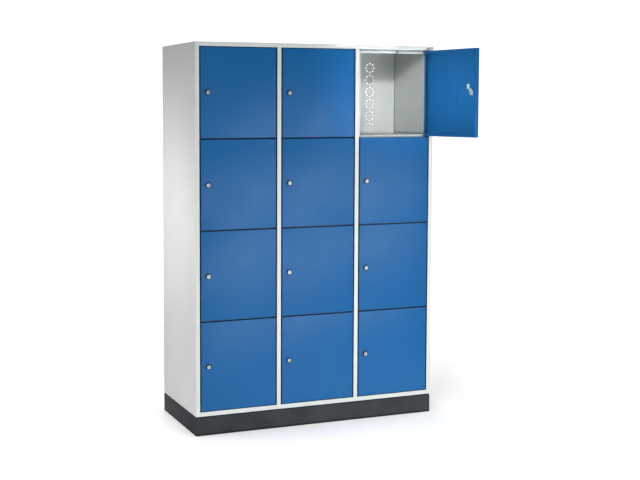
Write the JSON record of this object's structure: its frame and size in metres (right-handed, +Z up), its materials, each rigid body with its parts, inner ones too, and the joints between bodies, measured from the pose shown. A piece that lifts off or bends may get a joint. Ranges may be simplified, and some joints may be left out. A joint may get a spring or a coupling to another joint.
{
  "type": "locker",
  "caption": "Free-standing sheet-steel locker on a plinth, with hinged cubicle doors, cylinder cam locks and perforated rear panels; one door stands open.",
  "frame": {"origin": "centre of the rectangular footprint, on the floor, at the underside of the plinth", "axes": "+Z up, the doors face -Y, +X to the right seen from the front"},
  "size_m": [1.261, 0.8532, 1.8],
  "materials": {
    "cabinet_grey": "fine-textured light grey powder coat",
    "door_blue": "smooth satin gentian blue powder coat",
    "plinth_black": "satin black-grey powder coat",
    "lock_chrome": "polished, slightly worn",
    "zinc_steel": "zinc plated",
    "black_rubber": "matt"
  },
  "bodies": {
    "root": {"plinth_frame": "plinth_black", "levelling_feet": "zinc_steel", "base_panel": "cabinet_grey", "roof_panel": "cabinet_grey", "left_side_wall": "cabinet_grey", "right_side_wall": "cabinet_grey", "mullion_posts": "cabinet_grey", "partition_walls": "cabinet_grey", "shelves": "cabinet_grey", "rear_panels": "cabinet_grey", "hinge_plates": "plinth_black", "door_buffers": "black_rubber"},
    "door_r1c1": {"door_leaf_r1c1": "door_blue", "door_stiffener_r1c1": "door_blue", "lock_housing_r1c1": "lock_chrome"},
    "lock_r1c1": {"lock_core_r1c1": "lock_chrome"},
    "door_r1c2": {"door_leaf_r1c2": "door_blue", "door_stiffener_r1c2": "door_blue", "lock_housing_r1c2": "lock_chrome"},
    "lock_r1c2": {"lock_core_r1c2": "lock_chrome"},
    "door_r1c3": {"door_leaf_r1c3": "door_blue", "door_stiffener_r1c3": "door_blue", "lock_housing_r1c3": "lock_chrome"},
    "lock_r1c3": {"lock_core_r1c3": "lock_chrome"},
    "door_r2c1": {"door_leaf_r2c1": "door_blue", "door_stiffener_r2c1": "door_blue", "lock_housing_r2c1": "lock_chrome"},
    "lock_r2c1": {"lock_core_r2c1": "lock_chrome"},
    "door_r2c2": {"door_leaf_r2c2": "door_blue", "door_stiffener_r2c2": "door_blue", "lock_housing_r2c2": "lock_chrome"},
    "lock_r2c2": {"lock_core_r2c2": "lock_chrome"},
    "door_r2c3": {"door_leaf_r2c3": "door_blue", "door_stiffener_r2c3": "door_blue", "lock_housing_r2c3": "lock_chrome"},
    "lock_r2c3": {"lock_core_r2c3": "lock_chrome"},
    "door_r3c1": {"door_leaf_r3c1": "door_blue", "door_stiffener_r3c1": "door_blue", "lock_housing_r3c1": "lock_chrome"},
    "lock_r3c1": {"lock_core_r3c1": "lock_chrome"},
    "door_r3c2": {"door_leaf_r3c2": "door_blue", "door_stiffener_r3c2": "door_blue", "lock_housing_r3c2": "lock_chrome"},
    "lock_r3c2": {"lock_core_r3c2": "lock_chrome"},
    "door_r3c3": {"door_leaf_r3c3": "door_blue", "door_stiffener_r3c3": "door_blue", "lock_housing_r3c3": "lock_chrome"},
    "lock_r3c3": {"lock_core_r3c3": "lock_chrome"},
    "door_r4c1": {"door_leaf_r4c1": "door_blue", "door_stiffener_r4c1": "door_blue", "lock_housing_r4c1": "lock_chrome"},
    "lock_r4c1": {"lock_core_r4c1": "lock_chrome"},
    "door_r4c2": {"door_leaf_r4c2": "door_blue", "door_stiffener_r4c2": "door_blue", "lock_housing_r4c2": "lock_chrome"},
    "lock_r4c2": {"lock_core_r4c2": "lock_chrome"},
    "door_r4c3": {"door_leaf_r4c3": "door_blue", "door_stiffener_r4c3": "door_blue", "lock_housing_r4c3": "lock_chrome"},
    "lock_r4c3": {"lock_core_r4c3": "lock_chrome"}
  },
  "joints": [
    {"name": "door_r1c1_hinge", "type": "hinge", "parent": "root", "child": "door_r1c1", "pos_m": [-0.222, -0.2445, 1.57125], "axis": [0, 0, 1], "range_deg": [0, 110]},
    {"name": "lock_r1c1_turn", "type": "hinge", "parent": "door_r1c1", "child": "lock_r1c1", "pos_m": [-0.55, -0.25, 1.57125], "axis": [0, -1, 0], "range_deg": [0, 90]},
    {"name": "door_r1c2_hinge", "type": "hinge", "parent": "root", "child": "door_r1c2", "pos_m": [0.178, -0.2445, 1.57125], "axis": [0, 0, 1], "range_deg": [0, 110]},
    {"name": "lock_r1c2_turn", "type": "hinge", "parent": "door_r1c2", "child": "lock_r1c2", "pos_m": [-0.15, -0.25, 1.57125], "axis": [0, -1, 0], "range_deg": [0, 90]},
    {"name": "door_r1c3_hinge", "type": "hinge", "parent": "root", "child": "door_r1c3", "pos_m": [0.578, -0.2445, 1.57125], "axis": [0, 0, 1], "range_deg": [-100, 10]},
    {"name": "lock_r1c3_turn", "type": "hinge", "parent": "door_r1c3", "child": "lock_r1c3", "pos_m": [0.64037, -0.56656, 1.57125], "axis": [0.9848, 0.1736, 0], "range_deg": [0, 90]},
    {"name": "door_r2c1_hinge", "type": "hinge", "parent": "root", "child": "door_r2c1", "pos_m": [-0.222, -0.2445, 1.15375], "axis": [0, 0, 1], "range_deg": [0, 110]},
    {"name": "lock_r2c1_turn", "type": "hinge", "parent": "door_r2c1", "child": "lock_r2c1", "pos_m": [-0.55, -0.25, 1.15375], "axis": [0, -1, 0], "range_deg": [0, 90]},
    {"name": "door_r2c2_hinge", "type": "hinge", "parent": "root", "child": "door_r2c2", "pos_m": [0.178, -0.2445, 1.15375], "axis": [0, 0, 1], "range_deg": [0, 110]},
    {"name": "lock_r2c2_turn", "type": "hinge", "parent": "door_r2c2", "child": "lock_r2c2", "pos_m": [-0.15, -0.25, 1.15375], "axis": [0, -1, 0], "range_deg": [0, 90]},
    {"name": "door_r2c3_hinge", "type": "hinge", "parent": "root", "child": "door_r2c3", "pos_m": [0.578, -0.2445, 1.15375], "axis": [0, 0, 1], "range_deg": [0, 110]},
    {"name": "lock_r2c3_turn", "type": "hinge", "parent": "door_r2c3", "child": "lock_r2c3", "pos_m": [0.25, -0.25, 1.15375], "axis": [0, -1, 0], "range_deg": [0, 90]},
    {"name": "door_r3c1_hinge", "type": "hinge", "parent": "root", "child": "door_r3c1", "pos_m": [-0.222, -0.2445, 0.73625], "axis": [0, 0, 1], "range_deg": [0, 110]},
    {"name": "lock_r3c1_turn", "type": "hinge", "parent": "door_r3c1", "child": "lock_r3c1", "pos_m": [-0.55, -0.25, 0.73625], "axis": [0, -1, 0], "range_deg": [0, 90]},
    {"name": "door_r3c2_hinge", "type": "hinge", "parent": "root", "child": "door_r3c2", "pos_m": [0.178, -0.2445, 0.73625], "axis": [0, 0, 1], "range_deg": [0, 110]},
    {"name": "lock_r3c2_turn", "type": "hinge", "parent": "door_r3c2", "child": "lock_r3c2", "pos_m": [-0.15, -0.25, 0.73625], "axis": [0, -1, 0], "range_deg": [0, 90]},
    {"name": "door_r3c3_hinge", "type": "hinge", "parent": "root", "child": "door_r3c3", "pos_m": [0.578, -0.2445, 0.73625], "axis": [0, 0, 1], "range_deg": [0, 110]},
    {"name": "lock_r3c3_turn", "type": "hinge", "parent": "door_r3c3", "child": "lock_r3c3", "pos_m": [0.25, -0.25, 0.73625], "axis": [0, -1, 0], "range_deg": [0, 90]},
    {"name": "door_r4c1_hinge", "type": "hinge", "parent": "root", "child": "door_r4c1", "pos_m": [-0.222, -0.2445, 0.31875], "axis": [0, 0, 1], "range_deg": [0, 110]},
    {"name": "lock_r4c1_turn", "type": "hinge", "parent": "door_r4c1", "child": "lock_r4c1", "pos_m": [-0.55, -0.25, 0.31875], "axis": [0, -1, 0], "range_deg": [0, 90]},
    {"name": "door_r4c2_hinge", "type": "hinge", "parent": "root", "child": "door_r4c2", "pos_m": [0.178, -0.2445, 0.31875], "axis": [0, 0, 1], "range_deg": [0, 110]},
    {"name": "lock_r4c2_turn", "type": "hinge", "parent": "door_r4c2", "child": "lock_r4c2", "pos_m": [-0.15, -0.25, 0.31875], "axis": [0, -1, 0], "range_deg": [0, 90]},
    {"name": "door_r4c3_hinge", "type": "hinge", "parent": "root", "child": "door_r4c3", "pos_m": [0.578, -0.2445, 0.31875], "axis": [0, 0, 1], "range_deg": [0, 110]},
    {"name": "lock_r4c3_turn", "type": "hinge", "parent": "door_r4c3", "child": "lock_r4c3", "pos_m": [0.25, -0.25, 0.31875], "axis": [0, -1, 0], "range_deg": [0, 90]}
  ]
}
